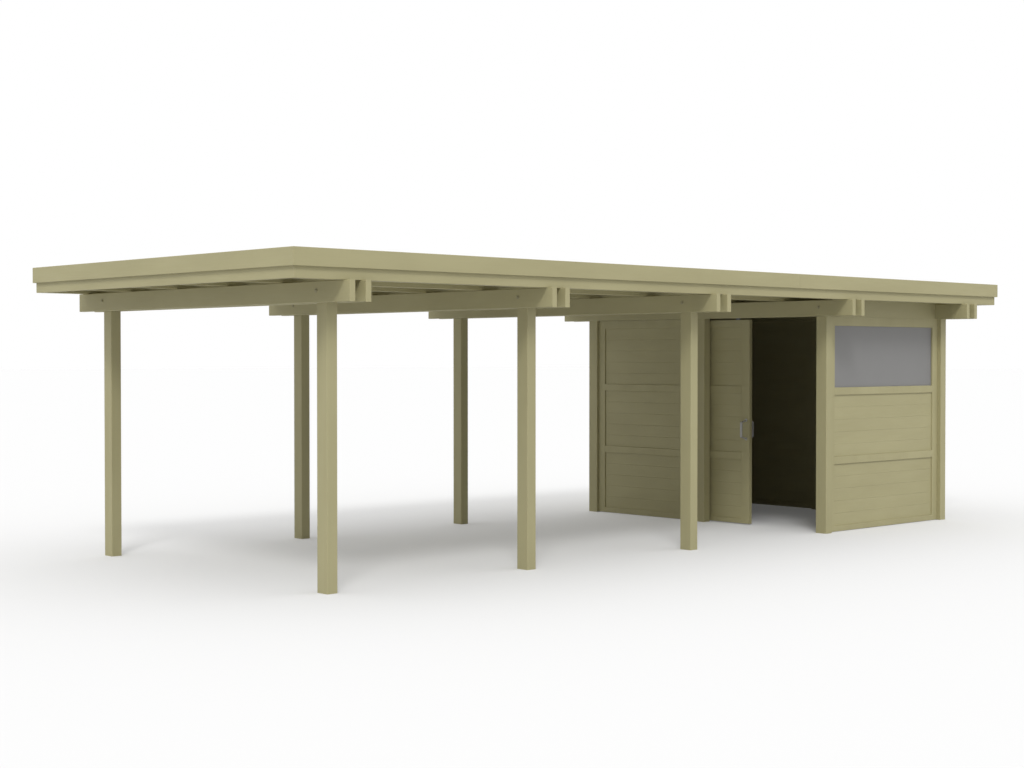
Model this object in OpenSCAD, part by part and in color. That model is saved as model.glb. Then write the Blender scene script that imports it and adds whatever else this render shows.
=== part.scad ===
// Open timber carport with a storage room in its last bay.
// Twin-plank bents on rectangular posts carry purlins, a flat deck and a two-step fascia.
// The room has framed panel walls, one window and a top-hung sliding door.
// +X runs along the length towards the room, +Y from front to back, +Z up.
// The origin is the centre of the plan at ground level. Lengths are in millimetres.

/* [Frame] */
// Distance between neighbouring bents, centre to centre
bay = 2180; // [1900:10:2500]
// Distance between the front and back post rows, centre to centre
row_spacing = 3380; // [3100:10:3700]
// Width of a post along the length
post_w = 103; // [90:1:130]
// Depth of a post across the length
post_d = 135; // [110:1:160]
// Height of the planks' underside above the ground
headroom = 2308; // [2200:1:2500]
// Height of a plank
plank_h = 168; // [140:1:220]
// Thickness of a plank
plank_t = 54; // [44:1:70]
// Length of a plank beyond a post's outer face
plank_overhang = 368; // [345:1:450]
// Chamfer along the edges of posts, planks and purlins
arris_w = 4; // [2:0.5:6]

/* [Roof] */
// Reach of the fascia past the end posts' outer faces
end_overhang = 555; // [400:1:700]
// Reach of the fascia past the post rows' outer faces
side_overhang = 330; // [250:1:338]
// Width of a purlin
purlin_w = 60; // [45:1:80]
// Height of a purlin
purlin_h = 120; // [100:1:140]
// Number of purlins across the roof
purlin_count = 6; // [5:1:9]
// Thickness of the roof deck
deck_t = 22; // [18:1:30]
// Thickness of the roof membrane
membrane_t = 4; // [2:1:8]
// Thickness of the rim board
rim_t = 40; // [28:1:50]
// Height of the rim board that shows below the fascia
rim_show = 92; // [60:1:110]
// Height of the fascia board
fascia_h = 143; // [110:1:160]
// Thickness of the fascia board
fascia_t = 25; // [18:1:32]
// Drop of the rim board's top edge below the fascia's
rim_drop = 12; // [5:1:20]
// Place of the butt joint in the long fascias, as a share of the roof's length
fascia_joint_share = 0.624; // [0.4:0.001:0.7]
// Open width of the butt joint in the long fascias
fascia_joint_gap = 2; // [1:0.5:4]

/* [Walls] */
// Thickness of a wall panel's frame
panel_t = 45; // [36:1:60]
// Gap under a wall panel
panel_ground_gap = 5; // [3:1:20]
// Width of a wall panel's stile
stile_w = 105; // [80:1:125]
// Height of a middle rail
rail_h = 80; // [60:1:110]
// Height of the bottom rail
bottom_rail_h = 60; // [50:1:110]
// Height of the top rail
top_rail_h = 98; // [80:1:130]
// Thickness of the boards in a panel
board_t = 20; // [16:1:28]
// Thickness of the window pane
glass_t = 8; // [5:1:12]

/* [Door] */
// Width of the sliding leaf
leaf_w = 1620; // [1610:1:1680]
// Thickness of the sliding leaf
leaf_t = 45; // [36:1:52]
// Width of the leaf's stiles
leaf_stile_w = 113; // [90:1:140]
// Gap between the planes of the leaf's inner face and the inner plank's
leaf_plank_gap = 5; // [3:0.5:10]
// Gap under the leaf
leaf_ground_gap = 12; // [8:1:25]
// Gap between the leaf's top and the planks
leaf_head_gap = 18; // [12:1:26]
// Clear width of the doorway as the door stands
door_open = 996; // [200:1:1390]
// Lap of the closed leaf behind the front post
leaf_lap = 14; // [5:1:30]

/* [Door handles] */
// Height of the handles' middle above the ground
handle_z = 1065; // [950:1:1200]
// Distance from the leaf's front edge to a handle
handle_inset = 46; // [40:1:60]
// Width of the handle's flat bar
bar_w = 25; // [16:1:30]
// Thickness of the handle's flat bar
bar_t = 12; // [8:1:14]
// Distance from the leaf's outer face to the outside grip's outer face
handle_reach = 93; // [70:1:100]
// Distance from the leaf's inner face to the inside grip's outer face
inner_reach = 74; // [60:1:100]
// Height between the grip's two corners
grip_h = 166; // [130:1:220]
// Height between the outer edges of the two legs at the leaf
foot_span = 222; // [190:1:280]
// Size of the bevel at the bow's corners
bend_cut = 14; // [8:1:20]
// Diameter of a foot's rose
rose_d = 34; // [28:1:44]
// Thickness of a foot's rose
rose_t = 6; // [5:0.5:10]
// Gap between a handle and the middle post when the door is fully open
handle_stop_gap = 10; // [5:1:30]

/* [Door track] */
// Width of the track's section
track_w = 40; // [36:1:50]
// Height of the track's section
track_h = 36; // [34:1:50]
// Thickness of the track's wall
track_wall = 2.5; // [2:0.5:4]
// Width of the slot under the track
track_slot = 14; // [12:1:16]
// Height of the track above the planks' underside
track_rise = 22; // [16:1:60]
// Length of the stop in each end of the track
stop_len = 20; // [10:1:40]
// Gap between a wheel and its stop
stop_gap = 5; // [2:1:20]
// Distance from the leaf's edges to the hangers
hanger_inset = 200; // [150:1:400]
// Width of a hanger's bracket
bracket_w = 60; // [40:1:90]
// Height of a hanger's bracket on the leaf's face
bracket_h = 130; // [90:1:200]
// Thickness of a hanger's bracket
bracket_t = 5; // [3:0.5:8]
// Diameter of a hanger's bolt
bolt_d = 10; // [8:1:10]
// Diameter of a hanger's wheels
wheel_d = 24; // [18:1:26]
// Width of a hanger's wheel
wheel_w = 7; // [5:0.5:8]
// Diameter of a hanger's axle
axle_d = 6; // [4:0.5:8]
// Running gap under a wheel
wheel_gap = 0.3; // [0.2:0.1:0.6]

/* [Hidden] */
$fn = 48;
bent_count = 5;
room_bent = bent_count - 1;
row_count = 3;
overrun = 1;
paint = [0.67, 0.65, 0.50];
paint_deep = [0.62, 0.60, 0.46];
pane_grey = [0.52, 0.52, 0.51];
metal_grey = [0.56, 0.56, 0.56];
roof_grey = [0.27, 0.28, 0.28];

front_y = -row_spacing / 2;
back_y = row_spacing / 2;
plank_top = headroom + plank_h;
plank_len = row_spacing + post_d + 2 * plank_overhang;
roof_len = (bent_count - 1) * bay + post_w + 2 * end_overhang;
roof_wid = row_spacing + post_d + 2 * side_overhang;
rim_len = roof_len - 2 * fascia_t;
rim_wid = roof_wid - 2 * fascia_t;
rim_h = rim_show + fascia_h - rim_drop;
bed_len = rim_len - 2 * rim_t;
bed_wid = rim_wid - 2 * rim_t;
purlin_pitch = (bed_wid - purlin_w) / (purlin_count - 1);
fascia_z = plank_top + rim_show;
deck_z = plank_top + purlin_h;
joint_x = roof_len * fascia_joint_share;

panel_h = headroom - panel_ground_gap;
row_h = (panel_h - bottom_rail_h - (row_count - 1) * rail_h - top_rail_h) / row_count;
end_panel_w = bay - post_w;
side_panel_w = row_spacing / 2 - post_d;

leaf_x = bent_x(room_bent) + post_w / 2 + plank_t + leaf_plank_gap - leaf_t;
leaf_y = front_y + post_d / 2 + door_open;
leaf_h = headroom - leaf_head_gap - leaf_ground_gap;
leaf_closed_y = front_y + post_d / 2 - leaf_lap;
leaf_open_y = -post_d / 2 - handle_stop_gap - rose_d / 2 - handle_inset;
track_x = bent_x(room_bent) + post_w / 2 + plank_t;
track_z = headroom + track_rise;
stop_reach = wheel_d / 2 + stop_gap + stop_len;
track_y = leaf_closed_y + hanger_inset - stop_reach;
track_end_y = leaf_open_y + leaf_w - hanger_inset + stop_reach;
bolt_x = track_x + track_w / 2;
axle_z = track_z + track_wall + wheel_gap + wheel_d / 2;
wheel_offset = track_slot / 2 + (track_w / 2 - track_wall - track_slot / 2) / 2;

// Place along X of the middle of one bent, counted from 1 at the open end
function bent_x(i) = (i - (bent_count + 1) / 2) * bay;

// Height of the underside of one panel row, counted from 0 at the bottom
function row_z(k) = panel_ground_gap + bottom_rail_h + k * (row_h + rail_h);

// Cross-section of a timber with chamfered edges
module timber_section(w, h) {
    polygon([
        [arris_w, 0], [w - arris_w, 0], [w, arris_w], [w, h - arris_w],
        [w - arris_w, h], [arris_w, h], [0, h - arris_w], [0, arris_w]
    ]);
}

// Post that stands on the ground and ends at the planks' top edge
module post_at(x, y) {
    color(paint)
        translate([x - post_w / 2, y - post_d / 2, 0])
            linear_extrude(plank_top)
                timber_section(post_w, post_d);
}

module front_post(i) {
    post_at(bent_x(i), front_y);
}

module back_post(i) {
    post_at(bent_x(i), back_y);
}

module door_post() {
    post_at(bent_x(room_bent), 0);
}

module end_wall_post() {
    post_at(bent_x(bent_count), 0);
}

// One plank on each side of a bent's posts
module twin_planks(i) {
    color(paint)
        for (side_x = [-post_w / 2 - plank_t, post_w / 2])
            translate([bent_x(i) + side_x, plank_len / 2, headroom])
                rotate([90, 0, 0])
                    linear_extrude(plank_len)
                        timber_section(plank_t, plank_h);
}

// Row of purlins that lie across the planks, the outer ones against the rim boards
module purlins() {
    color(paint_deep)
        for (k = [0 : purlin_count - 1])
            translate([-bed_len / 2, -bed_wid / 2 + k * purlin_pitch, plank_top])
                rotate([90, 0, 90])
                    linear_extrude(bed_len)
                        timber_section(purlin_w, purlin_h);
}

module roof_deck() {
    color(paint_deep)
        translate([-bed_len / 2, -bed_wid / 2, deck_z])
            cube([bed_len, bed_wid, deck_t]);
}

module roof_membrane() {
    color(roof_grey)
        translate([-bed_len / 2, -bed_wid / 2, deck_z + deck_t])
            cube([bed_len, bed_wid, membrane_t]);
}

// Board on edge, mitred inwards at the ends that meet a corner of the roof
module edge_board(len, t, h, start_mitre, end_mitre) {
    linear_extrude(h)
        polygon([[0, 0], [len, 0], [len - end_mitre * t, t], [start_mitre * t, t]]);
}

module rim_front() {
    color(paint)
        translate([-rim_len / 2, -rim_wid / 2, plank_top])
            edge_board(rim_len, rim_t, rim_h, 1, 1);
}

module rim_back() {
    rotate(180) rim_front();
}

module rim_left() {
    color(paint)
        translate([-rim_len / 2, rim_wid / 2, plank_top])
            rotate(-90)
                edge_board(rim_wid, rim_t, rim_h, 1, 1);
}

module rim_right() {
    rotate(180) rim_left();
}

module fascia_front_long() {
    color(paint)
        translate([-roof_len / 2, -roof_wid / 2, fascia_z])
            edge_board(joint_x - fascia_joint_gap / 2, fascia_t, fascia_h, 1, 0);
}

module fascia_front_short() {
    short_x = joint_x + fascia_joint_gap / 2;
    color(paint)
        translate([-roof_len / 2 + short_x, -roof_wid / 2, fascia_z])
            edge_board(roof_len - short_x, fascia_t, fascia_h, 0, 1);
}

module fascia_back_long() {
    rotate(180) fascia_front_long();
}

module fascia_back_short() {
    rotate(180) fascia_front_short();
}

module fascia_left() {
    color(paint)
        translate([-roof_len / 2, roof_wid / 2, fascia_z])
            rotate(-90)
                edge_board(roof_wid, fascia_t, fascia_h, 1, 1);
}

module fascia_right() {
    rotate(180) fascia_left();
}

// Frame of stiles and rails with one open field for each row
module panel_frame(w, t, stile, bottom, top) {
    difference() {
        translate([0, -t / 2, bottom])
            cube([w, t, top - bottom]);
        for (k = [0 : row_count - 1])
            translate([stile, -t / 2 - overrun, row_z(k)])
                cube([w - 2 * stile, t + 2 * overrun, row_h]);
    }
}

// Boarded fields that close the named rows of a frame
module panel_fields(w, t, stile, rows) {
    for (k = rows)
        translate([stile, -t / 2, row_z(k)])
            cube([w - 2 * stile, t, row_h]);
}

// Moves a panel to the front or back end of the room
module in_room_end(y) {
    translate([bent_x(room_bent) + post_w / 2, y, 0])
        children();
}

// Moves a panel to one half of the wall along bent i, front half 0 or back half 1
module in_room_side(i, half) {
    translate([bent_x(i), (half - 1) * row_spacing / 2 + post_d / 2, 0])
        rotate(90)
            children();
}

module front_wall_frame() {
    color(paint)
        in_room_end(front_y)
            panel_frame(end_panel_w, panel_t, stile_w, panel_ground_gap, headroom);
}

module front_wall_boards() {
    color(paint_deep)
        in_room_end(front_y)
            panel_fields(end_panel_w, board_t, stile_w, [0 : row_count - 2]);
}

module window_pane() {
    color(pane_grey)
        in_room_end(front_y)
            panel_fields(end_panel_w, glass_t, stile_w, [row_count - 1]);
}

module back_wall_frame() {
    color(paint)
        in_room_end(back_y)
            panel_frame(end_panel_w, panel_t, stile_w, panel_ground_gap, headroom);
}

module back_wall_boards() {
    color(paint_deep)
        in_room_end(back_y)
            panel_fields(end_panel_w, board_t, stile_w, [0 : row_count - 1]);
}

module left_wall_frame() {
    color(paint)
        in_room_side(room_bent, 1)
            panel_frame(side_panel_w, panel_t, stile_w, panel_ground_gap, headroom);
}

module left_wall_boards() {
    color(paint_deep)
        in_room_side(room_bent, 1)
            panel_fields(side_panel_w, board_t, stile_w, [0 : row_count - 1]);
}

module right_wall_frame() {
    color(paint)
        for (half = [0, 1])
            in_room_side(bent_count, half)
                panel_frame(side_panel_w, panel_t, stile_w, panel_ground_gap, headroom);
}

module right_wall_boards() {
    color(paint_deep)
        for (half = [0, 1])
            in_room_side(bent_count, half)
                panel_fields(side_panel_w, board_t, stile_w, [0 : row_count - 1]);
}

// Boards between the planks over the front and back walls
module wall_headers() {
    color(paint_deep)
        for (y = [front_y, back_y])
            translate([track_x, y - panel_t / 2, headroom])
                cube([end_panel_w - 2 * plank_t, panel_t, plank_h]);
}

// Box track with a slot underneath and a stop in each end
module door_track() {
    lip = (track_w - track_slot) / 2;
    color(metal_grey) {
        translate([track_x, track_end_y, track_z])
            rotate([90, 0, 0])
                linear_extrude(track_end_y - track_y)
                    polygon([
                        [0, 0], [lip, 0], [lip, track_wall], [track_wall, track_wall],
                        [track_wall, track_h - track_wall], [track_w - track_wall, track_h - track_wall],
                        [track_w - track_wall, track_wall], [track_w - lip, track_wall],
                        [track_w - lip, 0], [track_w, 0], [track_w, track_h], [0, track_h]
                    ]);
        for (y = [track_y, track_end_y - stop_len])
            translate([track_x + track_wall, y, track_z + track_wall])
                cube([track_w - 2 * track_wall, stop_len, track_h - 2 * track_wall]);
    }
}

// Moves a flat panel on to the leaf's place, as the door stands
module in_leaf() {
    translate([leaf_x + leaf_t / 2, leaf_y, 0])
        rotate(90)
            children();
}

module door_leaf() {
    color(paint)
        in_leaf()
            panel_frame(leaf_w, leaf_t, leaf_stile_w, leaf_ground_gap, leaf_ground_gap + leaf_h);
}

module door_boards() {
    color(paint_deep)
        in_leaf()
            panel_fields(leaf_w, board_t, leaf_stile_w, [0 : row_count - 1]);
}

// Half outline of a bow that stands on x = 0, from its upper foot down to its lower one
function bow_outline(reach, half_foot, half_grip) =
    let (corner_z = half_foot - (half_foot - half_grip) * (reach - bend_cut) / reach)
    [
        [0, half_foot], [reach - bend_cut, corner_z], [reach, half_grip - bend_cut],
        [reach, bend_cut - half_grip], [reach - bend_cut, -corner_z], [0, -half_foot]
    ];

// Bow handle of flat bar on a face at x = 0, with an upright grip and two legs on round roses
module bow_handle(reach) {
    translate([0, bar_w / 2, 0])
        rotate([90, 0, 0])
            linear_extrude(bar_w)
                difference() {
                    polygon(bow_outline(reach, foot_span / 2, grip_h / 2));
                    translate([-overrun, 0])
                        polygon(bow_outline(
                            reach - bar_t + overrun, foot_span / 2 - bar_t, grip_h / 2 - bar_t
                        ));
                }
    for (side = [-1, 1])
        translate([0, 0, side * (foot_span - bar_t) / 2])
            rotate([0, 90, 0])
                cylinder(h = rose_t, d = rose_d);
}

module door_handle_outside() {
    color(metal_grey)
        translate([leaf_x, leaf_y + handle_inset, handle_z])
            rotate(180)
                bow_handle(handle_reach);
}

module door_handle_inside() {
    color(metal_grey)
        translate([leaf_x + leaf_t, leaf_y + handle_inset, handle_z])
            bow_handle(inner_reach);
}

// Angle bracket on the leaf with a bolt up to a pair of wheels in the track
module hanger_at(y) {
    leaf_face_x = leaf_x + leaf_t;
    seat_z = headroom + track_rise / 2 - bracket_t;
    shelf_w = bolt_x - leaf_face_x + bracket_t + bolt_d / 2;
    translate([leaf_face_x, y - bracket_w / 2, seat_z + bracket_t - bracket_h])
        cube([bracket_t, bracket_w, bracket_h]);
    translate([leaf_face_x, y - bracket_w / 2, seat_z])
        cube([shelf_w, bracket_w, bracket_t]);
    translate([bolt_x, y, seat_z])
        cylinder(h = axle_z + bolt_d / 2 - seat_z, d = bolt_d);
    translate([bolt_x - wheel_offset, y, axle_z])
        rotate([0, 90, 0])
            cylinder(h = 2 * wheel_offset, d = axle_d);
    for (side = [-1, 1])
        translate([bolt_x + side * wheel_offset - wheel_w / 2, y, axle_z])
            rotate([0, 90, 0])
                cylinder(h = wheel_w, d = wheel_d);
}

module door_hangers() {
    color(metal_grey)
        for (y = [leaf_y + hanger_inset, leaf_y + leaf_w - hanger_inset])
            hanger_at(y);
}

for (i = [1 : bent_count]) {
    front_post(i);
    back_post(i);
    twin_planks(i);
}
door_post();
end_wall_post();
purlins();
roof_deck();
roof_membrane();
rim_front();
rim_back();
rim_left();
rim_right();
fascia_front_long();
fascia_front_short();
fascia_back_long();
fascia_back_short();
fascia_left();
fascia_right();
front_wall_frame();
front_wall_boards();
window_pane();
left_wall_frame();
left_wall_boards();
back_wall_frame();
back_wall_boards();
right_wall_frame();
right_wall_boards();
wall_headers();
door_track();
door_leaf();
door_boards();
door_handle_outside();
door_handle_inside();
door_hangers();
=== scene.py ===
"""Looks of a timber carport with a storage room: its pieces, finishes, studio and camera."""

import logging
import math
from abc import ABC, abstractmethod
from collections.abc import Callable, Sequence
from dataclasses import dataclass, field
from enum import Enum, IntEnum
from typing import Self

import bmesh
import bpy
from mathutils import Matrix, Vector


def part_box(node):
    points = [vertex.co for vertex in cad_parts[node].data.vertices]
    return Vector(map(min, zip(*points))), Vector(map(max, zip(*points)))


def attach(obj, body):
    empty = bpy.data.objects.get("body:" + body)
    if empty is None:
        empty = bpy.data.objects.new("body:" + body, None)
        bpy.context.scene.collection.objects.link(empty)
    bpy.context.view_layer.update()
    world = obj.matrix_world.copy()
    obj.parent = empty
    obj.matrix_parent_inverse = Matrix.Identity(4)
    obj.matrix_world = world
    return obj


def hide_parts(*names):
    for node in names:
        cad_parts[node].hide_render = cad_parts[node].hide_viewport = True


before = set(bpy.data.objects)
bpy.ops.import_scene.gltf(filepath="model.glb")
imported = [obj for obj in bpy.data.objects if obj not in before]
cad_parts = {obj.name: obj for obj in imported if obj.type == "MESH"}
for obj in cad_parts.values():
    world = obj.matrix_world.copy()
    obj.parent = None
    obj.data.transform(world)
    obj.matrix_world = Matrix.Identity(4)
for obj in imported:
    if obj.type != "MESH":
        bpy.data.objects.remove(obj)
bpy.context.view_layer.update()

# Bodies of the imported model
CARPORT = "carport"
SLIDING_DOOR = "sliding_door"

# Two places closer than this count as one, in metres
TOUCH = 0.0005
# A direction with more than this share along an axis counts as parallel to it
PARALLEL = 0.9
# Edges that turn by more than this are softened, and shaded as sharp
SHARP_TURN = math.radians(32.0)
# Most values of a noise lie between these two
NOISE_LOW, NOISE_HIGH = 0.3, 0.7
# Sides of a bolt's head, a nut and a screw
HEXAGON = 6

Colour = tuple[float, float, float]
Stretch = tuple[float, float, float]
Span = tuple[float, float]
Socket = bpy.types.NodeSocket
Inputs = dict[str | int, object]
Patterns = tuple[Socket, Socket, Socket]
Pieces = list[bpy.types.Object]
PlaceTest = Callable[[Vector, Vector], bool]

EVEN: Stretch = (1.0, 1.0, 1.0)
WHITE = (1.0, 1.0, 1.0, 1.0)

log = logging.getLogger("carport")


class Axis(IntEnum):
    """Direction of the shared frame, as the index of a coordinate."""

    X = 0
    Y = 1
    Z = 2

    def step(self, length: float) -> Vector:
        """Vector of the given length along this axis."""
        return Vector([length if axis is self else 0.0 for axis in Axis])

    def runs(self, way: Vector) -> bool:
        """Whether an edge of the given direction runs along this axis."""
        return abs(way[self]) > PARALLEL

    def faces(self, out: Vector, sign: int = 1) -> bool:
        """Whether a face of the given normal looks along this axis, or with sign -1 against it."""
        return out[self] * sign > PARALLEL


class Slot(Enum):
    """Material slots of the record, listed for the pieces."""

    TIMBER = "painted_timber"
    BOARDS = "painted_boards"
    ROOF = "roof_sheet"
    STEEL = "galvanised_steel"
    HANDLE = "handle_metal"


class Grain(Enum):
    """Way that wood fibres run, as the scale of the fibre pattern along X, Y and Z."""

    ALONG_X = (1.2, 45.0, 45.0)
    ALONG_Y = (45.0, 1.2, 45.0)
    ALONG_Z = (45.0, 45.0, 1.2)

    @classmethod
    def along(cls, axis: Axis) -> "Grain":
        """Grain that runs along an axis."""
        return (cls.ALONG_X, cls.ALONG_Y, cls.ALONG_Z)[axis]


@dataclass(frozen=True)
class Noise:
    """A soft noise, by its scale and its octaves of finer noise."""

    size: float
    detail: float


class NodeTree:
    """The node tree of a material or a world, filled by short calls."""

    def __init__(self, owner: bpy.types.Material | bpy.types.World) -> None:
        """Open the owner's node tree.

        Args:
            owner: The material or the world.
        """
        owner.use_nodes = True
        self.nodes = owner.node_tree.nodes
        self.links = owner.node_tree.links

    def add(self, kind: str, inputs: Inputs, **settings: object) -> bpy.types.Node:
        """Add a node.

        Args:
            kind: Name of the node type.
            inputs: Values or output sockets for the node's inputs, by name or index.
            settings: Properties of the node itself.

        Returns:
            The new node.
        """
        node = self.nodes.new(kind)
        for name, value in settings.items():
            setattr(node, name, value)
        self.feed(node, inputs)
        return node

    def feed(self, node: bpy.types.Node, inputs: Inputs) -> None:
        """Set or join a node's inputs.

        Args:
            node: The node to feed.
            inputs: Values or output sockets, by name or index of the input.
        """
        for name, value in inputs.items():
            if isinstance(value, Socket):
                self.links.new(value, node.inputs[name])
            else:
                node.inputs[name].default_value = value

    def compute(self, operation: str, *values: object) -> Socket:
        """Result of an operation on one or two values."""
        inputs = dict(enumerate(values))
        return self.add("ShaderNodeMath", inputs, operation=operation).outputs[0]


class Recipe(NodeTree):
    """One material's node tree, with the patterns that the finishes are mixed from."""

    def __init__(self, name: str) -> None:
        """Start a material that has only its main shader."""
        self.material = bpy.data.materials.new(name)
        super().__init__(self.material)

    def place(self, stretch: Stretch) -> Socket:
        """Object coordinates in metres, stretched along each axis."""
        spot = self.add("ShaderNodeTexCoord", {}).outputs["Object"]
        return self.add("ShaderNodeMapping", {"Vector": spot, "Scale": stretch}).outputs["Vector"]

    def noise(self, kind: Noise, stretch: Stretch = EVEN) -> Socket:
        """Noise from 0 to 1, stretched along each axis."""
        inputs = {"Vector": self.place(stretch), "Scale": kind.size, "Detail": kind.detail}
        return self.add("ShaderNodeTexNoise", inputs).outputs["Fac"]

    def cells(self, size: float) -> Socket:
        """Flat cells at a scale, each with a shade of its own."""
        inputs = {"Vector": self.place(EVEN), "Scale": size}
        return self.add("ShaderNodeTexVoronoi", inputs).outputs["Color"]

    def mean(self, one: Socket, other: Socket) -> Socket:
        """Mean of two values."""
        return self.compute("MULTIPLY", self.compute("ADD", one, other), 0.5)

    def spread(self, noise: Socket, span: Span) -> Socket:
        """Map a noise onto a span of values.

        Args:
            noise: The noise.
            span: Values where the noise is low and where it is high.

        Returns:
            The value's socket.
        """
        low, high = span
        inputs = {
            "Value": noise, "From Min": NOISE_LOW, "From Max": NOISE_HIGH,
            "To Min": low, "To Max": high,
        }
        return self.add("ShaderNodeMapRange", inputs).outputs["Result"]

    def blend(self, noise: Socket, deep: Colour, pale: Colour) -> Socket:
        """Colour between two shades.

        Args:
            noise: The noise that chooses the shade.
            deep: Shade where the noise is low.
            pale: Shade where the noise is high.

        Returns:
            The colour's socket.
        """
        ramp = self.add("ShaderNodeValToRGB", {"Fac": noise})
        low, high = ramp.color_ramp.elements
        low.position, high.position = NOISE_LOW, NOISE_HIGH
        low.color, high.color = (*deep, 1.0), (*pale, 1.0)
        return ramp.outputs["Color"]

    def relief(self, height: Socket, depth: float) -> Socket:
        """Surface normal of a fine relief of the given depth in metres."""
        return self.add("ShaderNodeBump", {"Height": height, "Distance": depth}).outputs["Normal"]

    def finish(self, inputs: Inputs) -> bpy.types.Material:
        """Feed the main shader and hand over the material."""
        self.feed(self.nodes["Principled BSDF"], inputs)
        return self.material


@dataclass(frozen=True, kw_only=True)
class Finish(ABC):
    """A surface between two shades, with patterns in its colour, its gloss and its relief."""

    title: str
    deep: Colour
    pale: Colour
    gloss: Span
    depth: float
    metal: float = 0.0
    clear: float = 0.0

    @abstractmethod
    def patterns(self, recipe: Recipe) -> Patterns:
        """Add the patterns of the colour, the gloss and the relief, and return them."""

    def mix(self) -> bpy.types.Material:
        """Build the finish.

        Returns:
            The finish's material.
        """
        recipe = Recipe(self.title)
        tone, wear, height = self.patterns(recipe)
        return recipe.finish({
            "Base Color": recipe.blend(tone, self.deep, self.pale),
            "Metallic": self.metal,
            "Roughness": recipe.spread(wear, self.gloss),
            "Normal": recipe.relief(height, self.depth),
            "Transmission Weight": self.clear,
        })


@dataclass(frozen=True, kw_only=True)
class OlivePaint(Finish):
    """Opaque olive beige paint on planed softwood, with the fibres as a faint relief."""

    grain: Grain
    deep: Colour = (0.349, 0.319, 0.171)
    pale: Colour = (0.382, 0.351, 0.192)
    gloss: Span = (0.52, 0.68)
    depth: float = 0.0003
    fibre: Noise = Noise(size=3.0, detail=5.0)
    patch: Noise = Noise(size=2.0, detail=3.0)
    patch_share: float = 0.03
    patch_least: float = 0.5

    @property
    def slow(self) -> Stretch:
        """Stretch of the patches, which are drawn out less than the fibres."""
        return tuple(scale * self.patch_share + self.patch_least for scale in self.grain.value)

    def patterns(self, recipe: Recipe) -> Patterns:
        """Slow patches of tone, and fibres in the gloss and the relief."""
        fibres = recipe.noise(self.fibre, self.grain.value)
        return recipe.noise(self.patch, self.slow), fibres, fibres


@dataclass(frozen=True, kw_only=True)
class RoofFelt(Finish):
    """Grey mineral felt with fine granules and slow weather patches."""

    title: str = "roof_felt_grey"
    deep: Colour = (0.048, 0.050, 0.051)
    pale: Colour = (0.098, 0.099, 0.096)
    gloss: Span = (0.86, 0.98)
    depth: float = 0.0012
    granule: Noise = Noise(size=420.0, detail=3.0)
    patch: Noise = Noise(size=1.1, detail=4.0)

    def patterns(self, recipe: Recipe) -> Patterns:
        """Granules in colour and relief, and patches in colour and gloss."""
        granules, patches = recipe.noise(self.granule), recipe.noise(self.patch)
        return recipe.mean(granules, patches), patches, granules


@dataclass(frozen=True, kw_only=True)
class FrostedGlass(Finish):
    """Grey satin glass that lets light through but no view."""

    title: str = "frosted_glass_grey"
    deep: Colour = (0.226, 0.223, 0.219)
    pale: Colour = (0.236, 0.233, 0.228)
    gloss: Span = (0.42, 0.56)
    depth: float = 0.0002
    clear: float = 0.12
    cloud: Noise = Noise(size=2.2, detail=2.0)
    etch: Noise = Noise(size=260.0, detail=2.0)

    def patterns(self, recipe: Recipe) -> Patterns:
        """Slow clouds of tone, and a fine etching in gloss and relief."""
        etching = recipe.noise(self.etch)
        return recipe.noise(self.cloud), etching, etching


@dataclass(frozen=True, kw_only=True)
class GalvanisedSteel(Finish):
    """Zinc-coated steel with flat crystals of slightly different grey."""

    title: str = "galvanised_fittings"
    deep: Colour = (0.30, 0.31, 0.32)
    pale: Colour = (0.46, 0.47, 0.48)
    gloss: Span = (0.40, 0.58)
    depth: float = 0.00015
    metal: float = 0.85
    crystal_size: float = 90.0
    dust: Noise = Noise(size=35.0, detail=4.0)

    def patterns(self, recipe: Recipe) -> Patterns:
        """Crystals in the colour, and dust in gloss and relief."""
        dust = recipe.noise(self.dust)
        return recipe.cells(self.crystal_size), dust, dust


@dataclass(frozen=True, kw_only=True)
class SatinMetal(Finish):
    """Brushed grey metal of the door pulls, brushed along the grip."""

    title: str = "satin_handle_grey"
    deep: Colour = (0.360, 0.357, 0.352)
    pale: Colour = (0.450, 0.446, 0.440)
    gloss: Span = (0.40, 0.54)
    depth: float = 0.00005
    metal: float = 0.15
    stroke: Noise = Noise(size=1.0, detail=3.0)
    brush: Stretch = (900.0, 900.0, 18.0)

    def patterns(self, recipe: Recipe) -> Patterns:
        """Fine strokes in colour, gloss and relief."""
        strokes = recipe.noise(self.stroke, self.brush)
        return strokes, strokes, strokes


class Finishes:
    """Every finish of the carport, mixed once and shared by its pieces."""

    def __init__(self) -> None:
        """Mix the finishes."""
        self._timber = {
            grain: OlivePaint(title=f"timber_paint_{grain.name.lower()}", grain=grain).mix()
            for grain in Grain
        }
        self.roof = RoofFelt().mix()
        self.glass = FrostedGlass().mix()
        self.steel = GalvanisedSteel().mix()
        self.bolt = OlivePaint(
            title="bolt_paint", grain=Grain.ALONG_X,
            deep=(0.285, 0.264, 0.162), pale=(0.345, 0.319, 0.192),
        ).mix()
        self.handle = SatinMetal().mix()

    def timber(self, axis: Axis) -> bpy.types.Material:
        """Paint on a timber that runs along an axis."""
        return self._timber[Grain.along(axis)]


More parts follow.
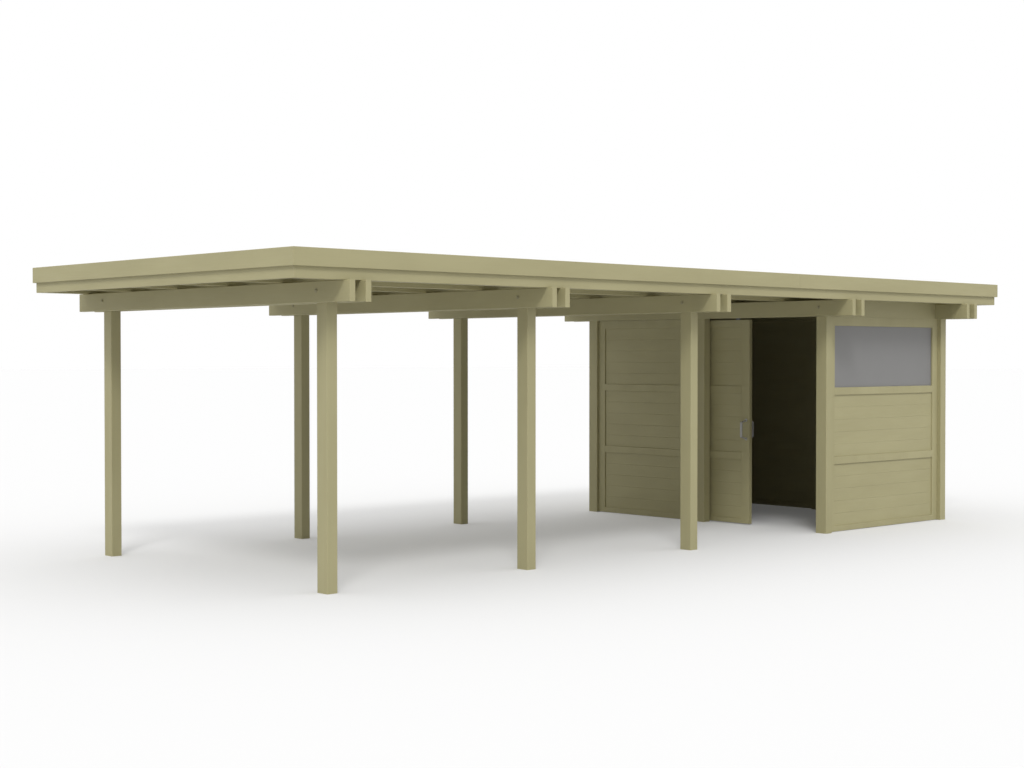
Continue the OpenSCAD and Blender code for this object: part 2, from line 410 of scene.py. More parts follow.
class Workpiece:
    """A mesh on the bench that is shaped step by step, as by hand."""

    def __init__(self, obj: bpy.types.Object, name: str) -> None:
        """Take over an object and name it and its mesh.

        Args:
            obj: The object.
            name: The piece's name.
        """
        self.obj = obj
        obj.name = name
        obj.data.name = name

    @classmethod
    def block(cls, name: str, low: Vector, high: Vector) -> Self:
        """Start from a cube that fills a box.

        Args:
            name: The piece's name.
            low: Lowest corner.
            high: Highest corner.

        Returns:
            The block, with its place in its mesh.
        """
        cls.clear_bench()
        bpy.ops.mesh.primitive_cube_add(size=1.0, location=(low + high) / 2, scale=high - low)
        bpy.ops.object.transform_apply(location=True, rotation=True, scale=True)
        return cls(bpy.context.object, name)

    @classmethod
    def disc(cls, name: str, centre: Vector, radius: float, depth: float, sides: int) -> Self:
        """Start from a cylinder that lies along X.

        Args:
            name: The piece's name.
            centre: Middle of the cylinder.
            radius: Radius to its corners.
            depth: Length along its axis.
            sides: Number of flat sides.

        Returns:
            The disc, with its place in its mesh.
        """
        cls.clear_bench()
        bpy.ops.mesh.primitive_cylinder_add(
            vertices=sides, radius=radius, depth=depth, location=centre,
            rotation=(0.0, math.pi / 2, 0.0))
        bpy.ops.object.transform_apply(location=True, rotation=True, scale=True)
        return cls(bpy.context.object, name)

    @staticmethod
    def clear_bench() -> None:
        """Go to object mode with nothing selected."""
        if bpy.context.mode != "OBJECT":
            bpy.ops.object.mode_set(mode="OBJECT")
        bpy.ops.object.select_all(action="DESELECT")

    def lay_out(self) -> None:
        """Go to object mode with this piece alone selected and active."""
        self.clear_bench()
        bpy.context.view_layer.objects.active = self.obj
        self.obj.select_set(True)

    def open_edit(self, kind: str) -> bmesh.types.BMesh:
        """Go to edit mode with nothing selected.

        Args:
            kind: VERT, EDGE or FACE, the kind of element to select.

        Returns:
            The mesh to select in.
        """
        self.lay_out()
        bpy.ops.object.mode_set(mode="EDIT")
        bpy.ops.mesh.select_mode(type=kind)
        bpy.ops.mesh.select_all(action="DESELECT")
        return bmesh.from_edit_mesh(self.obj.data)

    def faces(self, test: PlaceTest) -> Self:
        """Select the faces that pass a test.

        Args:
            test: Takes a face's centre and normal.

        Returns:
            This piece.
        """
        for face in self.open_edit("FACE").faces:
            face.select_set(test(face.calc_center_median(), face.normal))
        bmesh.update_edit_mesh(self.obj.data)
        return self

    def edges(self, test: PlaceTest) -> Self:
        """Select the edges that pass a test.

        Args:
            test: Takes an edge's middle and direction.

        Returns:
            This piece.
        """
        for edge in self.open_edit("EDGE").edges:
            start, end = (vert.co for vert in edge.verts)
            edge.select_set(test((start + end) / 2, (end - start).normalized()))
        bmesh.update_edit_mesh(self.obj.data)
        return self

    def points(self, test: Callable[[Vector], bool]) -> Self:
        """Select the corners that pass a test.

        Args:
            test: Takes a corner's place.

        Returns:
            This piece.
        """
        for vert in self.open_edit("VERT").verts:
            vert.select_set(test(vert.co))
        bmesh.update_edit_mesh(self.obj.data)
        return self

    def move(self, step: Vector) -> Self:
        """Move what is selected."""
        bpy.ops.transform.translate(value=step, orient_type="GLOBAL")
        return self

    def extrude(self, step: Vector) -> Self:
        """Draw the selected faces out along a step."""
        bpy.ops.mesh.extrude_region_move(
            TRANSFORM_OT_translate={"value": step, "orient_type": "GLOBAL"})
        return self

    def inset(self, width: float) -> Self:
        """Inset the selected faces."""
        bpy.ops.mesh.inset(thickness=width, use_even_offset=True)
        return self

    def bevel(self, width: float, segments: int = 1) -> Self:
        """Bevel the selected edges."""
        bpy.ops.mesh.bevel(offset=width, segments=segments, affect="EDGES", clamp_overlap=True)
        return self

    def cut(self, place: Vector, axis: Axis) -> Self:
        """Cut an edge ring all round.

        Args:
            place: A point of the cut.
            axis: Axis that the cut is square to.

        Returns:
            This piece.
        """
        self.open_edit("VERT")
        bpy.ops.mesh.select_all(action="SELECT")
        bpy.ops.mesh.bisect(plane_co=place, plane_no=axis.step(1.0))
        return self

    def hollow(self, axis: Axis, middle: Vector, border: float) -> Self:
        """Open a block right through, so that a ring is left.

        Args:
            axis: Direction of the opening.
            middle: Middle of the block.
            border: Width of the ring.

        Returns:
            This piece.
        """
        for sign in (1, -1):
            self.faces(lambda mid, out: axis.faces(out, sign)).inset(border)
        level = [other for other in Axis if other is not axis]
        self.faces(lambda mid, out: axis.runs(out)
                   and all(abs(mid[other] - middle[other]) < TOUCH for other in level))
        bpy.ops.mesh.bridge_edge_loops()
        return self

    def modify(self, kind: str, **settings: object) -> Self:
        """Add a modifier and apply it.

        Args:
            kind: Type of the modifier.
            settings: Its properties.

        Returns:
            This piece.
        """
        self.lay_out()
        modifier = self.obj.modifiers.new(kind.lower(), kind)
        for name, value in settings.items():
            setattr(modifier, name, value)
        bpy.ops.object.modifier_apply(modifier=modifier.name)
        return self

    def soften(self, width: float, segments: int = 2) -> Self:
        """Round every sharp edge."""
        return self.modify(
            "BEVEL", width=width, segments=segments, limit_method="ANGLE", angle_limit=SHARP_TURN)

    def row(self, count: int, step: Vector) -> Self:
        """Repeat the piece in a row, each a step from the last."""
        return self.modify(
            "ARRAY", count=count, use_relative_offset=False, use_constant_offset=True,
            constant_offset_displace=step)

    def smooth(self) -> Self:
        """Shade round faces smooth and keep sharp turns.

        Returns:
            This piece.
        """
        self.lay_out()
        bpy.ops.object.shade_smooth_by_angle(angle=SHARP_TURN)
        return self

    def twin(self, place: Matrix) -> "Workpiece":
        """Copy the piece, with a mesh of its own.

        Args:
            place: Matrix that moves or turns the copy.

        Returns:
            The copy.
        """
        self.lay_out()
        mesh = self.obj.data.copy()
        mesh.transform(place)
        copy = bpy.data.objects.new(self.obj.name, mesh)
        bpy.context.collection.objects.link(copy)
        return Workpiece(copy, self.obj.name)

    def scrap(self) -> None:
        """Take a model that was only copied off the bench."""
        bpy.data.objects.remove(self.obj)

    @staticmethod
    def joined(name: str, parts: Sequence["Workpiece"]) -> "Workpiece":
        """Join pieces into the first of them.

        Args:
            name: Name of the joined piece.
            parts: The pieces.

        Returns:
            The joined piece.
        """
        first, *others = parts
        if others:
            first.lay_out()
            for other in others:
                other.obj.select_set(True)
            bpy.ops.object.join()
        first.obj.name = name
        return first

    def dress(
        self, material: bpy.types.Material, slot: Slot, body: str, *nodes: str
    ) -> bpy.types.Object:
        """Give the finished piece its material and body.

        Args:
            material: The piece's finish.
            slot: Not used.
            body: The body that the piece rides on.
            nodes: The CAD nodes that the piece stands for.

        Returns:
            The piece's object.
        """
        self.lay_out()
        self.obj.data.materials.clear()
        self.obj.data.materials.append(material)
        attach(self.obj, body)
        if nodes:
            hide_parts(*nodes)
        return self.obj


@dataclass(frozen=True)
class Plate:
    """A round or hexagonal plate that lies along X, with its outer edge bevelled."""

    radius: float
    depth: float
    sides: int
    chamfer: float
    segments: int = 1

    def model(self, name: str, seat: Vector, out: int) -> Workpiece:
        """Model the plate on its seat.

        Args:
            name: The piece's name.
            seat: Middle of the face that the plate sits on.
            out: Way that it looks, 1 along X and -1 against it.

        Returns:
            The plate.
        """
        rise = Axis.X.step(out * self.depth)
        rim = (seat + rise).x
        plate = Workpiece.disc(name, seat + rise / 2, self.radius, self.depth, self.sides)
        plate.edges(lambda mid, way: abs(mid.x - rim) < TOUCH)
        return plate.bevel(self.chamfer, self.segments)


@dataclass(frozen=True)
class TongueJoint:
    """Tongue and groove between boards that lie side by side."""

    tongue_margin: float
    groove_margin: float
    tongue: float = 0.006
    gap: float = 0.0004

    def shape(self, board: Workpiece, axis: Axis) -> None:
        """Draw the tongue out of a board's one edge and sink the groove into the other.

        Args:
            board: The board to shape.
            axis: Way across the board, from its groove to its tongue.
        """
        board.faces(lambda mid, out: axis.faces(out)).inset(self.tongue_margin)
        board.extrude(axis.step(self.tongue))
        board.faces(lambda mid, out: axis.faces(out, -1)).inset(self.groove_margin)
        board.extrude(axis.step(self.tongue + self.gap))


class SubAssembly(ABC):
    """A part of the carport that builds and dresses its own pieces."""

    @abstractmethod
    def build(self, finishes: Finishes) -> Pieces:
        """Build and dress the pieces, and return them."""

    @staticmethod
    def paint_node(name: str, material: bpy.types.Material) -> bpy.types.Object:
        """Give a CAD node its finish.

        Args:
            name: The node's name.
            material: The finish.

        Returns:
            The node's object.
        """
        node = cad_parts[name]
        if node.material_slots:
            node.material_slots[0].material = material
        else:
            node.data.materials.append(material)
        return node


@dataclass
class TimberFrame(SubAssembly):
    """Posts, twin planks, purlins and headers, with the bolts that clamp planks to posts."""

    bents: int = 5
    arris: float = 0.0015
    closer_depth: float = 0.020
    bolt_rise: float = 0.012
    washer: Plate = Plate(radius=0.018, depth=0.003, sides=28, chamfer=0.0006)
    head: Plate = Plate(radius=0.011, depth=0.0075, sides=HEXAGON, chamfer=0.0012, segments=2)
    stub: Plate = Plate(radius=0.006, depth=0.005, sides=16, chamfer=0.0012)

    def build(self, finishes: Finishes) -> Pieces:
        """Dress the timbers and add the headers, their closers and the bolts.

        Args:
            finishes: The carport's finishes.

        Returns:
            The frame's pieces.
        """
        bents = range(1, self.bents + 1)
        posts = ["door_post", "end_wall_post"]
        posts += [f"{row}_post_{i}" for row in ("front", "back") for i in bents]
        along = finishes.timber(Axis.X)
        pieces = [self.paint_node(post, finishes.timber(Axis.Z)) for post in posts]
        pieces += [self.paint_node(f"twin_planks_{i}", finishes.timber(Axis.Y)) for i in bents]
        pieces.append(self.paint_node("purlins", along))
        pieces.append(self.headers().dress(along, Slot.TIMBER, CARPORT, "wall_headers"))
        pieces.append(self.closers().dress(along, Slot.BOARDS, CARPORT))
        pieces.append(self.bolts(posts).dress(finishes.bolt, Slot.TIMBER, CARPORT))
        return pieces

    def headers(self) -> Workpiece:
        """Model the boards that close the walls between the planks.

        Returns:
            Both headers as one piece.
        """
        low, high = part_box("wall_headers")
        boards = []
        for wall in ("front_wall_frame", "back_wall_frame"):
            near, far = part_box(wall)
            start = Vector((low.x, near.y, low.z))
            end = Vector((high.x, far.y, high.z))
            boards.append(Workpiece.block("header_boards", start, end).soften(self.arris))
        return Workpiece.joined("header_boards", boards)

    def closers(self) -> Workpiece:
        """Model the thin boards that close the room from the headers up to the deck.

        Returns:
            Both closers as one piece.
        """
        low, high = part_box("wall_headers")
        deck_low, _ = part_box("roof_deck")
        boards = []
        for near in (low.y, high.y - self.closer_depth):
            start = Vector((low.x, near, high.z))
            end = Vector((high.x, near + self.closer_depth, deck_low.z))
            board = Workpiece.block("header_closers", start, end)
            board.edges(lambda mid, way: Axis.X.runs(way)).bevel(self.arris, segments=2)
            boards.append(board)
        return Workpiece.joined("header_closers", boards)

    def bolt(self, nut: bool) -> Workpiece:
        """Model a washer with a hexagon head, or with a nut and the bolt's end.

        Args:
            nut: Whether the bolt's end shows.

        Returns:
            The fitting at the frame's origin, facing -X.
        """
        plates = [("plank_bolts", self.washer), ("bolt_head", self.head)]
        if nut:
            plates.append(("bolt_end", self.stub))
        parts = []
        reach = 0.0
        for name, plate in plates:
            parts.append(plate.model(name, Axis.X.step(-reach), -1))
            reach += plate.depth
        return Workpiece.joined(parts[0].obj.name, parts).smooth()

    def bolts(self, posts: Sequence[str]) -> Workpiece:
        """Set a bolt through each crossing of a post and its planks.

        Args:
            posts: Names of the posts' nodes.

        Returns:
            All heads and nuts as one piece.
        """
        head, nut = self.bolt(False), self.bolt(True)
        turned = Matrix.Rotation(math.pi, 4, "Z")
        header_low, header_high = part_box("wall_headers")
        header_ends = (header_low.x, header_high.x)
        planks = [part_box(f"twin_planks_{i}") for i in range(1, self.bents + 1)]
        fittings = []
        for post in posts:
            low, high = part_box(post)
            centre = (low + high) / 2
            plank_low, plank_high = min(
                planks, key=lambda box: abs((box[0].x + box[1].x) / 2 - centre.x))
            height = (plank_low.z + plank_high.z) / 2 + self.bolt_rise
            sides = ((head, plank_low.x, Matrix()), (nut, plank_high.x, turned))
            for model, face, turn in sides:
                # The end of a header covers the bolts of the posts at the wall's ends
                covered = any(abs(face - end) < TOUCH for end in header_ends)
                if covered and abs(centre.y) > header_high.y / 2:
                    continue
                fittings.append(model.twin(Matrix.Translation((face, centre.y, height)) @ turn))
        for model in (head, nut):
            model.scrap()
        return Workpiece.joined("plank_bolts", fittings)


@dataclass
class RoofEdge(SubAssembly):
    """Rim boards and the fascia boards that stand proud of them, mitred at the corners."""

    arris: float = 0.0025
    kinds: dict[str, tuple[str, ...]] = field(default_factory=lambda: {
        "rim": ("front", "back", "left", "right"),
        "fascia": ("front_long", "front_short", "back_long", "back_short", "left", "right"),
    })

    def build(self, finishes: Finishes) -> Pieces:
        """Model and paint every board of the roof's edge.

        Args:
            finishes: The carport's finishes.

        Returns:
            The boards.
        """
        pieces = []
        for kind, sides in self.kinds.items():
            boxes = [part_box(f"{kind}_{side}") for side in sides]
            reach = [max(high[axis] for _, high in boxes) for axis in (Axis.X, Axis.Y)]
            for side in sides:
                board, run = self.board(kind, side, reach)
                paint = finishes.timber(run)
                pieces.append(board.dress(paint, Slot.TIMBER, CARPORT, f"{kind}_{side}"))
        return pieces

    def board(self, kind: str, side: str, reach: Sequence[float]) -> tuple[Workpiece, Axis]:
        """Model one board, mitred where it reaches a corner.

        Args:
            kind: Rim or fascia.
            side: Side of the roof that the board is on.
            reach: Distance of the corners from the middle, along X and Y.

        Returns:
            The board and the axis along it.
        """
        low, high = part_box(f"{kind}_{side}")
        size = high - low
        run, across = (Axis.X, Axis.Y) if size.x > size.y else (Axis.Y, Axis.X)
        inner = low[across] if low[across] + high[across] > 0 else high[across]
        board = Workpiece.block(f"{kind}_board_{side}", low, high)
        for end in (low[run], high[run]):
            if abs(abs(end) - reach[run]) < TOUCH:
                board.points(
                    lambda p: abs(p[run] - end) < TOUCH and abs(p[across] - inner) < TOUCH)
                board.move(run.step(-math.copysign(size[across], end)))
        return board.edges(lambda mid, way: run.runs(way)).bevel(self.arris, segments=2), run


@dataclass
class RoofSkin(SubAssembly):
    """Deck boards over the purlins, and the felt that is turned up and over the rim."""

    board_width: float = 0.120
    joint: TongueJoint = TongueJoint(tongue_margin=0.006, groove_margin=0.0055)
    veil: float = 0.004
    felt_wall: float = 0.005
    felt_arris: float = felt_wall / 3
    fillet: float = 0.018
    lap_width: float = 0.080
    lap_depth: float = 0.0025
    sheet_width: float = 1.0

    def build(self, finishes: Finishes) -> Pieces:
        """Model the deck and the felt."""
        deck = self.deck().dress(finishes.timber(Axis.Y), Slot.BOARDS, CARPORT, "roof_deck")
        return [deck, self.felt().dress(finishes.roof, Slot.ROOF, CARPORT, "roof_membrane")]

    def deck(self) -> Workpiece:
        """Model one tongue and groove board and lay the deck with it.

        Returns:
            The deck.
        """
        low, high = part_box("roof_deck")
        count = round((high.x - low.x) / self.board_width)
        pitch = (high.x - low.x) / count
        end = Vector((low.x + pitch - self.joint.gap, high.y, high.z))
        board = Workpiece.block("deck_boards", low, end)
        board.edges(lambda mid, way: Axis.Y.runs(way) and mid.z < low.z + TOUCH).bevel(self.veil)
        self.joint.shape(board, Axis.X)
        return board.row(count, Axis.X.step(pitch))

    def felt(self) -> Workpiece:
        """Model the felt as a tray with welded laps, dressed over the rim to the fascia.

        Returns:
            The felt.
        """
        low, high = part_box("roof_membrane")
        rim_low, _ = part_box("rim_front")
        _, rim_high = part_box("rim_back")
        flat = Vector((high.x - self.felt_wall, high.y - self.felt_wall, high.z))
        tray = Workpiece.block("roof_felt", low, high)
        tray.faces(lambda mid, out: Axis.Z.faces(out)).inset(self.felt_wall)
        tray.faces(lambda mid, out: Axis.Z.faces(out)
                   and (abs(mid.x) > flat.x or abs(mid.y) > flat.y))
        tray.extrude(Axis.Z.step(rim_high.z + self.felt_wall - high.z))
        tray.edges(lambda mid, way: abs(mid.z - high.z) < TOUCH and not Axis.Z.runs(way)
                   and (abs(abs(mid.x) - flat.x) < TOUCH or abs(abs(mid.y) - flat.y) < TOUCH))
        tray.bevel(self.fillet, segments=3)
        laps = self.laps(Vector((-flat.x, -flat.y, flat.z)), flat)
        cap_low = Vector((rim_low.x, rim_low.y, rim_high.z))
        cap_high = rim_high + Axis.Z.step(self.felt_wall)
        cap = Workpiece.block("felt_cap", cap_low, cap_high)
        cap.hollow(Axis.Z, (cap_low + cap_high) / 2, rim_high.x - flat.x)
        return Workpiece.joined("roof_felt", [tray, laps, cap.soften(self.felt_arris)])

    def laps(self, low: Vector, high: Vector) -> Workpiece:
        """Model one welded lap between two sheets and repeat it along the roof.

        Args:
            low: Lowest corner of the felt's flat part.
            high: Highest corner of the felt's flat part.

        Returns:
            All laps as one piece.
        """
        sheets = math.ceil((high.x - low.x) / self.sheet_width)
        pitch = (high.x - low.x) / sheets
        start = Vector((low.x + pitch, low.y + self.fillet, low.z - self.lap_depth / 2))
        end = Vector((start.x + self.lap_width, high.y - self.fillet, low.z + self.lap_depth))
        lap = Workpiece.block("felt_lap", start, end)
        lap.edges(lambda mid, way: Axis.Y.runs(way) and mid.z > low.z)
        lap.bevel(self.lap_depth, segments=2)
        return lap.row(sheets - 1, Axis.X.step(pitch))


@dataclass
class PanelSet(SubAssembly):
    """Framed panels of one wall or of the door: stiles, rails and rows of boards."""

    title: str
    frame_node: str
    boards_node: str
    body: str
    run: Axis
    stile: float
    spans: list[Span]
    boarded_rows: int = 3
    rows: int = 3
    rail: float = 0.080
    boards_in_row: int = 5
    joint: TongueJoint = TongueJoint(tongue_margin=0.004, groove_margin=0.0035)
    arris: float = 0.0015
    veil: float = 0.001

    @property
    def across(self) -> Axis:
        """Axis through the panel's thickness."""
        return Axis.Y if self.run is Axis.X else Axis.X

    def build(self, finishes: Finishes) -> Pieces:
        """Model the joinery and the boards, and paint them."""
        upright, level = finishes.timber(Axis.Z), finishes.timber(self.run)
        return [
            self.joinery().dress(upright, Slot.TIMBER, self.body, self.frame_node),
            self.boards().dress(level, Slot.BOARDS, self.body, self.boards_node),
        ]

    def corner(self, along: float, across: float, height: float) -> Vector:
        """Point given along the wall, across it and in height."""
        return Vector((along, across, height) if self.run is Axis.X else (across, along, height))

    def row_bounds(self) -> list[Span]:
        """Lower and upper edges of the rows of boards or glass.

        Returns:
            The edges' heights, row by row from the ground.
        """
        low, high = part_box("left_wall_boards")
        pitch = (high.z - low.z + self.rail) / self.rows
        return [(low.z + i * pitch, low.z + (i + 1) * pitch - self.rail) for i in range(self.rows)]

    def joinery(self) -> Workpiece:
        """Model stiles and rails with soft edges, which leave a fine line at each joint.

        Returns:
            All stiles and rails as one piece.
        """
        name = f"{self.title}_joinery"
        low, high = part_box(self.frame_node)
        edges = [low.z, *(edge for row in self.row_bounds() for edge in row), high.z]
        rails = list(zip(edges[0::2], edges[1::2]))
        members = []
        for start, end in self.spans:
            left, right = start + self.stile, end - self.stile
            stiles = [(start, left, low.z, high.z), (right, end, low.z, high.z)]
            bars = [(left, right, bottom, top) for bottom, top in rails]
            for near, far, bottom, top in stiles + bars:
                member = Workpiece.block(
                    name, self.corner(near, low[self.across], bottom),
                    self.corner(far, high[self.across], top))
                members.append(member.soften(self.arris))
        return Workpiece.joined(name, members)

    def boards(self) -> Workpiece:
        """Model one tongue and groove board for each span and repeat it up the rows.

        Returns:
            All boards as one piece.
        """
        name = f"{self.title}_boarding"
        low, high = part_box(self.boards_node)
        rows = self.row_bounds()
        bottom, top = rows[0]
        next_bottom, _ = rows[1]
        pitch = (top - bottom) / self.boards_in_row
        fields = []
        for start, end in self.spans:
            board = Workpiece.block(
                name, self.corner(start + self.stile, low[self.across], bottom),
                self.corner(end - self.stile, high[self.across], bottom + pitch - self.joint.gap))
            board.edges(lambda mid, way: self.run.runs(way)).bevel(self.veil)
            self.joint.shape(board, Axis.Z)
            board.row(self.boards_in_row, Axis.Z.step(pitch))
            fields.append(board.row(self.boarded_rows, Axis.Z.step(next_bottom - bottom)))
        return Workpiece.joined(name, fields)


@dataclass
class StorageRoom:
    """Walls and door of the room in the last bay, as panel sets."""

    wall_stile: float = 0.105
    door_stile: float = 0.113

    def panels(self) -> list[PanelSet]:
        """Lay out the panels, with a post between the two of the end wall.

        Returns:
            The panel sets of the four walls and of the door.
        """
        sets = []
        # The last number is the rows of boards: the window takes the front wall's top row
        walls = (
            ("front", Axis.X, 2), ("back", Axis.X, 3), ("left", Axis.Y, 3), ("right", Axis.Y, 3))
        for side, run, boarded in walls:
            title = f"{side}_wall"
            low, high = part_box(f"{title}_frame")
            spans = [(low[run], high[run])]
            if side == "right":
                post_low, post_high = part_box("end_wall_post")
                spans = [(low.y, post_low.y), (post_high.y, high.y)]
            sets.append(PanelSet(
                title, f"{title}_frame", f"{title}_boards", CARPORT, run, self.wall_stile, spans,
                boarded_rows=boarded))
        low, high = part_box("door_leaf")
        sets.append(PanelSet(
            "door", "door_leaf", "door_boards", SLIDING_DOOR, Axis.Y, self.door_stile,
            [(low.y, high.y)]))
        return sets


@dataclass
class Window(SubAssembly):
    """Frosted pane of the front wall, held by beads on the room's side."""

    bead: float = 0.016
    arris: float = 0.003

    def build(self, finishes: Finishes) -> Pieces:
        """Dress the pane and model its beads."""
        pane = self.paint_node("window_pane", finishes.glass)
        return [pane, self.beads().dress(finishes.timber(Axis.X), Slot.TIMBER, CARPORT)]

    def beads(self) -> Workpiece:
        """Model the ring of glazing beads from one block.

        Returns:
            The ring of beads.
        """
        low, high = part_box("window_pane")
        start = Vector((low.x, high.y, low.z))
        end = Vector((high.x, high.y + self.bead, high.z))
        ring = Workpiece.block("window_beads", start, end)
        return ring.hollow(Axis.Y, (start + end) / 2, self.bead).soften(self.arris)


@dataclass
class BowHandle:
    """Flat-bar bow pull with round roses at its feet."""

    title: str
    node: str
    bar_width: float = 0.025
    bar_depth: float = 0.012
    grip: float = 0.166
    foot_span: float = 0.222
    bend: float = 0.012
    soft: float = 0.003
    rose: Plate = Plate(radius=0.017, depth=0.006, sides=40, chamfer=0.003, segments=4)

    def model(self, leaf_face: float) -> Workpiece:
        """Model the bow and its roses.

        Args:
            leaf_face: Place along X of the leaf's face that carries the handle.

        Returns:
            The handle as one piece.
        """
        low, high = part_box(self.node)
        centre = (low + high) / 2
        out = -1 if centre.x < leaf_face else 1
        tip = low.x if out < 0 else high.x
        back = tip - out * self.bar_depth
        half = Vector((self.bar_depth, self.bar_width, self.grip)) / 2
        middle = Vector(((tip + back) / 2, centre.y, centre.z))
        bow = Workpiece.block(self.title, middle - half, middle + half)
        leg = Axis.X.step(leaf_face - back)
        slope = (self.foot_span - self.grip) / 2 / abs(leaf_face - tip)
        joint = self.grip / 2 - self.bar_depth
        foot = (self.foot_span - self.bar_depth) / 2
        roses = []
        for up in (1, -1):
            bow.cut(middle + Axis.Z.step(up * joint), Axis.Z)
            bow.points(
                lambda p: abs(p.x - back) < TOUCH and (p.z - middle.z) * up > joint - TOUCH)
            bow.move(Axis.Z.step(up * slope * self.bar_depth))
            bow.faces(lambda mid, way: Axis.X.faces(way, -out) and (mid.z - middle.z) * up > joint)
            bow.extrude(leg + Axis.Z.step(up * slope * leg.length))
            seat = Vector((leaf_face, centre.y, centre.z + up * foot))
            roses.append(self.rose.model(f"{self.title}_rose", seat, out))
        bow.edges(lambda mid, way: Axis.Y.runs(way) and abs(mid.x - tip) < TOUCH)
        bow.bevel(self.bend, segments=5).soften(self.soft, segments=3)
        return Workpiece.joined(self.title, [bow, *roses]).smooth()


@dataclass
class SlidingDoor(SubAssembly):
    """Bow handles, hangers and track of the door; its panel is a panel set of its own."""

    screw: Plate = Plate(radius=0.0085, depth=0.005, sides=HEXAGON, chamfer=0.001, segments=2)
    screw_drop: float = 0.026
    screw_pitch: float = 0.046
    screws_each: int = 2
    hanger_inset: float = 0.200
    bracket: float = 0.005

    def build(self, finishes: Finishes) -> Pieces:
        """Dress track and hangers, and model the handles and the screws.

        Args:
            finishes: The carport's finishes.

        Returns:
            The door's fittings.
        """
        low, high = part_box("door_leaf")
        pieces = [self.paint_node(node, finishes.steel) for node in ("door_track", "door_hangers")]
        for side, face in (("outside", low.x), ("inside", high.x)):
            handle = BowHandle(f"bow_handle_{side}", f"door_handle_{side}")
            model = handle.model(face)
            pieces.append(model.dress(finishes.handle, Slot.HANDLE, SLIDING_DOOR, handle.node))
        pieces.append(self.screws().dress(finishes.steel, Slot.STEEL, SLIDING_DOOR))
        return pieces

    def screws(self) -> Workpiece:
        """Model one hexagon screw and set it on both hangers' brackets.

        Returns:
            All screws as one piece.
        """
        low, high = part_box("door_leaf")
        hanger_low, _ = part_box("door_hangers")
        first = hanger_low.z + self.screw_drop
        screw = self.screw.model("hanger_screws", Axis.X.step(high.x + self.bracket), 1)
        copies = [
            screw.twin(Matrix.Translation((0, y, first + i * self.screw_pitch)))
            for y in (low.y + self.hanger_inset, high.y - self.hanger_inset)
            for i in range(self.screws_each)
        ]
        screw.scrap()
        return Workpiece.joined("hanger_screws", copies)


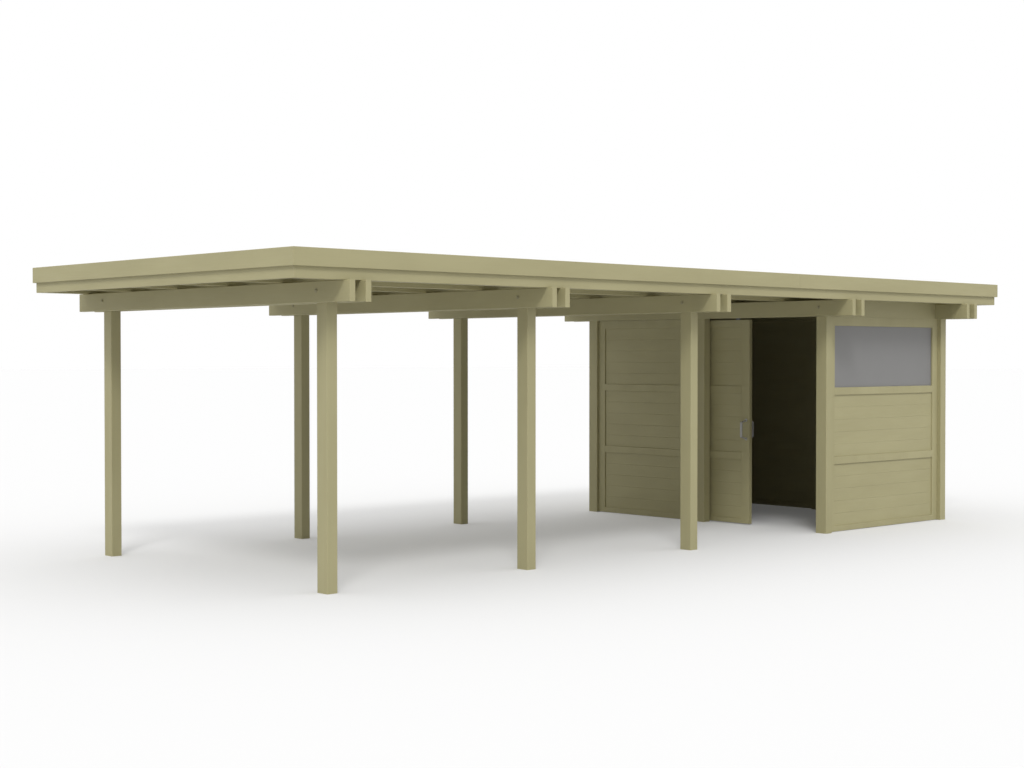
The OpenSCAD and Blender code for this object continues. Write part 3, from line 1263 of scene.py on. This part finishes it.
@dataclass
class Studio:
    """Pale floor, soft dome with a soft key lamp and the camera at the photograph's angle."""

    floor_size: float = 400.0
    floor_white: float = 0.55
    # Glow of the floor seen by the camera: painted light that pales its shadows, cut to a share
    # inside the storage room as painted shade on its floor
    floor_glow: float = 0.165
    indoor_share: float = 0.4
    indoor_fade: float = 0.7
    floor_bounce: float = 0.56
    horizon: float = 0.20
    zenith: float = 1.74
    key: float = 1.24
    key_spread: float = math.radians(14.0)
    key_yaw: float = math.radians(44.0)
    key_pitch: float = math.radians(-44.0)
    place: tuple[float, float, float] = (-12.2069, -12.2871, 1.8868)
    yaw: float = math.radians(42.9137)
    pitch: float = math.radians(-0.9754)
    lens: float = 58.0279
    sensor: float = 36.0

    def build(self) -> None:
        """Set the view transform, the floor, the light and the camera."""
        bpy.context.scene.view_settings.view_transform = "Standard"
        self.floor()
        self.dome()
        self.lamp()
        self.camera()

    @staticmethod
    def seen(tree: NodeTree) -> Socket:
        """Factor that is 1 for what the camera sees, also in metal and through glass.

        Args:
            tree: Node tree to add to.

        Returns:
            The factor's socket.
        """
        rays = tree.add("ShaderNodeLightPath", {}).outputs
        mirrored = tree.compute("MAXIMUM", rays["Is Camera Ray"], rays["Is Glossy Ray"])
        return tree.compute("MAXIMUM", mirrored, rays["Is Transmission Ray"])

    def glow(self, tree: NodeTree) -> Socket:
        """Strength of the floor's glow, painted light that pales its shadows and fades past the
        storage room's doorway into painted shade on the room's floor.

        Args:
            tree: Node tree of the floor.

        Returns:
            The strength's socket.
        """
        doorway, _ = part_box("door_post")
        _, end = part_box("right_wall_frame")
        spot = tree.add("ShaderNodeTexCoord", {}).outputs["Object"]
        place = tree.add("ShaderNodeSeparateXYZ", {0: spot}).outputs
        fade = {
            "Value": place["X"], "From Min": doorway.x, "From Max": doorway.x + self.indoor_fade,
            "To Min": self.floor_glow, "To Max": self.floor_glow * self.indoor_share,
        }
        ramp = tree.add("ShaderNodeMapRange", fade, interpolation_type="SMOOTHSTEP")
        strength = ramp.outputs["Result"]
        # Inside the room's walls the glow fades: painted shade on the room's floor
        for axis, limit in (("X", end.x), ("Y", end.y)):
            inside = tree.compute("LESS_THAN", tree.compute("ABSOLUTE", place[axis]), limit)
            pick = {"Factor": inside, "A": self.floor_glow, "B": strength}
            strength = tree.add("ShaderNodeMix", pick).outputs["Result"]
        return strength

    def floor(self) -> None:
        """Lay a floor that looks white, keeps the shadow pale with a painted glow and throws less
        light back.
        """
        Workpiece.clear_bench()
        bpy.ops.mesh.primitive_plane_add(size=self.floor_size)
        floor = bpy.context.object
        floor.name = "studio_floor"
        material = bpy.data.materials.new("studio_floor_white")
        tree = NodeTree(material)
        tree.nodes.remove(tree.nodes["Principled BSDF"])
        papers = []
        for level, glow in ((self.floor_bounce, 0.0), (self.floor_white, self.glow(tree))):
            paper = tree.add("ShaderNodeBsdfPrincipled", {
                "Base Color": (level, level, level, 1.0), "Roughness": 1.0,
                "Specular IOR Level": 0.0, "Emission Color": WHITE, "Emission Strength": glow,
            })
            papers.append(paper.outputs[0])
        mix = tree.add("ShaderNodeMixShader", {0: self.seen(tree), 1: papers[0], 2: papers[1]})
        tree.feed(tree.nodes["Material Output"], {"Surface": mix.outputs[0]})
        floor.data.materials.append(material)

    def dome(self) -> None:
        """Light the scene by a dome that looks plain white and is brightest overhead."""
        world = bpy.data.worlds.new("studio_dome")
        bpy.context.scene.world = world
        tree = NodeTree(world)
        tree.nodes.clear()
        spot = tree.add("ShaderNodeTexCoord", {}).outputs["Generated"]
        height = tree.add("ShaderNodeSeparateXYZ", {0: spot}).outputs["Z"]
        rise = {"Value": height, "To Min": self.horizon, "To Max": self.zenith}
        level = tree.add("ShaderNodeMapRange", rise).outputs["Result"]
        lit, shown = (
            tree.add("ShaderNodeBackground", {"Color": WHITE, "Strength": strength}).outputs[0]
            for strength in (level, 1.0))
        mix = tree.add("ShaderNodeMixShader", {0: self.seen(tree), 1: lit, 2: shown})
        tree.add("ShaderNodeOutputWorld", {"Surface": mix.outputs[0]})

    def lamp(self) -> None:
        """Set a soft key lamp on the camera's side."""
        lamp = bpy.data.lights.new("key_lamp", "SUN")
        lamp.energy = self.key
        lamp.angle = self.key_spread
        self.aim(bpy.data.objects.new("key_lamp", lamp), self.key_yaw, self.key_pitch)

    def camera(self) -> None:
        """Stand the camera where the photograph was taken from."""
        lens = bpy.data.cameras.new("photo_camera")
        lens.lens = self.lens
        lens.sensor_width = self.sensor
        lens.clip_end = self.floor_size
        camera = bpy.data.objects.new("photo_camera", lens)
        camera.location = self.place
        self.aim(camera, self.yaw, self.pitch)
        bpy.context.scene.camera = camera

    @staticmethod
    def aim(obj: bpy.types.Object, yaw: float, pitch: float) -> None:
        """Put a lamp or camera into the scene, looking along a direction.

        Args:
            obj: The lamp or camera.
            yaw: Turn from +Y towards +X.
            pitch: Rise above the horizon.
        """
        level = math.cos(pitch)
        way = Vector((math.sin(yaw) * level, math.cos(yaw) * level, math.sin(pitch)))
        obj.rotation_euler = way.to_track_quat("-Z", "Y").to_euler()
        bpy.context.collection.objects.link(obj)


def main() -> None:
    """Build and dress every sub-assembly, set the studio and note the sizes."""
    logging.basicConfig(level=logging.INFO, format="%(name)s: %(message)s")
    finishes = Finishes()
    assemblies: list[SubAssembly] = [
        TimberFrame(), RoofEdge(), RoofSkin(), Window(), SlidingDoor(), *StorageRoom().panels()]
    for assembly in assemblies:
        kind = type(assembly).__name__
        for piece in assembly.build(finishes):
            log.info("%s: %s, %d faces", kind, piece.name, len(piece.data.polygons))
    Studio().build()


if __name__ == "__main__":
    main()
